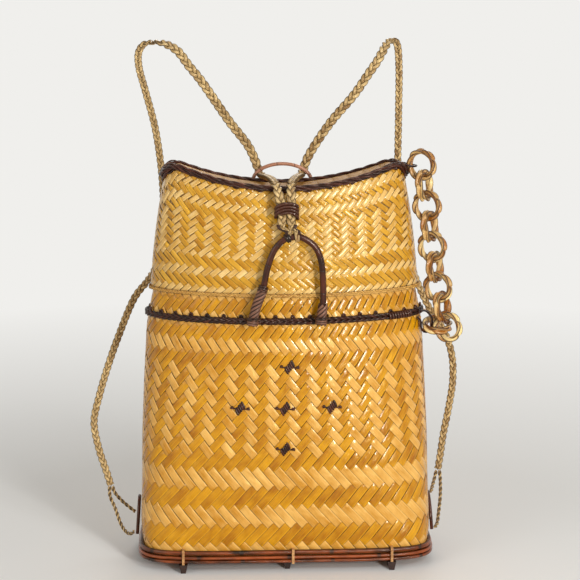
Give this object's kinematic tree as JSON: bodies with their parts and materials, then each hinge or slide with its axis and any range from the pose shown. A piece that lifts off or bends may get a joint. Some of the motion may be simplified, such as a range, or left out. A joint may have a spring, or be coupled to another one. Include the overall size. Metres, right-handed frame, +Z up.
{
  "type": "pack basket",
  "caption": "Plaited cane pack basket with a slip-on cap lid, wound slide-ring closure on a cane hoop, plaited shoulder straps and a cane-ring chain to the lid.",
  "frame": {"origin": "centre of the underside of the middle bearer, under the centre of the basket", "axes": "+Z up, -Y the front with the cane hoop, +X the side with the chain"},
  "size_m": [0.3611, 0.1828, 0.4914],
  "materials": {
    "golden_cane": "glossy split cane",
    "pale_cane": "glossy split cane",
    "dark_cane": "dark stained cane, satin",
    "frame_cane": "dark split cane, satin",
    "strap_cane": "plaited cane strip, satin",
    "ring_cane": "twisted cane, satin"
  },
  "bodies": {
    "basket": {"basket_body": "golden_cane", "mouth_braid": "dark_cane", "base_frame_lower": "frame_cane", "base_frame_upper": "frame_cane", "bearer_left": "frame_cane", "bearer_middle": "frame_cane", "bearer_right": "frame_cane", "frame_tie_front_left": "pale_cane", "frame_tie_front_middle": "pale_cane", "frame_tie_front_right": "pale_cane", "frame_tie_back_left": "pale_cane", "frame_tie_back_middle": "pale_cane", "frame_tie_back_right": "pale_cane", "strap_ear_left": "dark_cane", "strap_ear_right": "dark_cane", "front_hoop": "dark_cane", "hoop_binding_left": "dark_cane", "hoop_binding_right": "dark_cane", "hoop_lashing_left": "dark_cane", "hoop_lashing_right": "dark_cane", "hoop_wrap_dark": "dark_cane", "closure_leg_left": "strap_cane", "hoop_wrap_pale": "strap_cane", "closure_leg_right": "strap_cane", "chain_rim_loop_dark": "dark_cane", "chain_rim_loop_pale": "pale_cane", "ornament_top": "dark_cane", "ornament_left": "dark_cane", "ornament_centre": "dark_cane", "ornament_right": "dark_cane", "ornament_bottom": "dark_cane", "strap_left_front": "strap_cane", "strap_left_shoulder": "strap_cane", "strap_left_back": "strap_cane", "strap_left_leg_inner": "strap_cane", "strap_left_leg_outer": "strap_cane", "strap_right_front": "strap_cane", "strap_right_shoulder": "strap_cane", "strap_right_back": "strap_cane", "strap_right_leg_inner": "strap_cane", "strap_right_leg_outer": "strap_cane"},
    "lid": {"lid_shell": "pale_cane", "lid_rim_cord": "strap_cane", "lid_top_seam": "dark_cane", "rear_hoop": "dark_cane", "rear_hoop_lashing_left": "dark_cane", "rear_hoop_lashing_right": "dark_cane", "chain_top_tie": "dark_cane", "chain_link_01": "ring_cane"},
    "slide_ring": {"slide_ring": "dark_cane"},
    "chain_link_02": {"chain_link_02": "ring_cane"},
    "chain_link_03": {"chain_link_03": "ring_cane"},
    "chain_link_04": {"chain_link_04": "ring_cane"},
    "chain_link_05": {"chain_link_05": "ring_cane"},
    "chain_link_06": {"chain_link_06": "ring_cane"},
    "chain_link_07": {"chain_link_07": "ring_cane"},
    "chain_link_08": {"chain_link_08": "ring_cane"},
    "chain_link_09": {"chain_link_09": "ring_cane"},
    "chain_link_10": {"chain_link_10": "ring_cane"}
  },
  "joints": [
    {"name": "lid_lift", "type": "slide", "parent": "basket", "child": "lid", "axis": [0, 0, 1], "range_m": [0, 0.0165], "deforming": ["strap_left_front", "strap_right_front", "strap_left_shoulder", "strap_right_shoulder"]},
    {"name": "slide_ring_slide", "type": "slide", "parent": "basket", "child": "slide_ring", "axis": [0, 0, 1], "range_m": [-0.0025, 0.0025]},
    {"name": "chain_link_02_swing", "type": "hinge", "parent": "lid", "child": "chain_link_02", "pos_m": [0.12926, -0.015, 0.36767], "axis": [0.8578, -0.4999, 0.12], "range_deg": [-6, 6]},
    {"name": "chain_link_03_swing", "type": "hinge", "parent": "chain_link_02", "child": "chain_link_03", "pos_m": [0.13198, -0.015, 0.34826], "axis": [0.4951, 0.8661, 0.069], "range_deg": [-2.5, 4]},
    {"name": "chain_link_04_swing", "type": "hinge", "parent": "chain_link_03", "child": "chain_link_04", "pos_m": [0.1347, -0.015, 0.32885], "axis": [0.8578, -0.4999, 0.12], "range_deg": [-6.5, 6.5]},
    {"name": "chain_link_05_swing", "type": "hinge", "parent": "chain_link_04", "child": "chain_link_05", "pos_m": [0.13742, -0.015, 0.30945], "axis": [0.4951, 0.8661, 0.069], "range_deg": [-8.5, 5.5]},
    {"name": "chain_link_06_swing", "type": "hinge", "parent": "chain_link_05", "child": "chain_link_06", "pos_m": [0.14014, -0.015, 0.29004], "axis": [0.8578, -0.4999, 0.12], "range_deg": [-6.5, 6.5]},
    {"name": "chain_link_07_swing", "type": "hinge", "parent": "chain_link_06", "child": "chain_link_07", "pos_m": [0.14286, -0.015, 0.27063], "axis": [0.4951, 0.8661, 0.069], "range_deg": [-3, 4.5]},
    {"name": "chain_link_08_swing", "type": "hinge", "parent": "chain_link_07", "child": "chain_link_08", "pos_m": [0.14704, -0.01585, 0.2515], "axis": [0.8423, -0.4981, 0.2061], "range_deg": [-6.5, 6.5]},
    {"name": "chain_link_09_swing", "type": "hinge", "parent": "chain_link_08", "child": "chain_link_09", "pos_m": [0.15121, -0.01671, 0.23238], "axis": [0.4951, 0.8661, 0.069], "range_deg": [-3, 16]},
    {"name": "chain_link_10_swing", "type": "hinge", "parent": "basket", "child": "chain_link_10", "pos_m": [0.13348, -0.01263, 0.22625], "axis": [0, -1, 0], "range_deg": [0, 35]}
  ],
  "couplings": [
    {"joint": "chain_link_04_swing", "follows": "chain_link_02_swing", "ratio": -1},
    {"joint": "chain_link_06_swing", "follows": "chain_link_02_swing", "ratio": -1},
    {"joint": "chain_link_08_swing", "follows": "chain_link_02_swing", "ratio": 1},
    {"joint": "chain_link_05_swing", "follows": "chain_link_03_swing", "ratio": -2},
    {"joint": "chain_link_07_swing", "follows": "chain_link_03_swing", "ratio": 1},
    {"joint": "chain_link_09_swing", "follows": "lid_lift", "rad_per_m": 15.708},
    {"joint": "chain_link_10_swing", "follows": "lid_lift", "rad_per_m": 34.907}
  ]
}
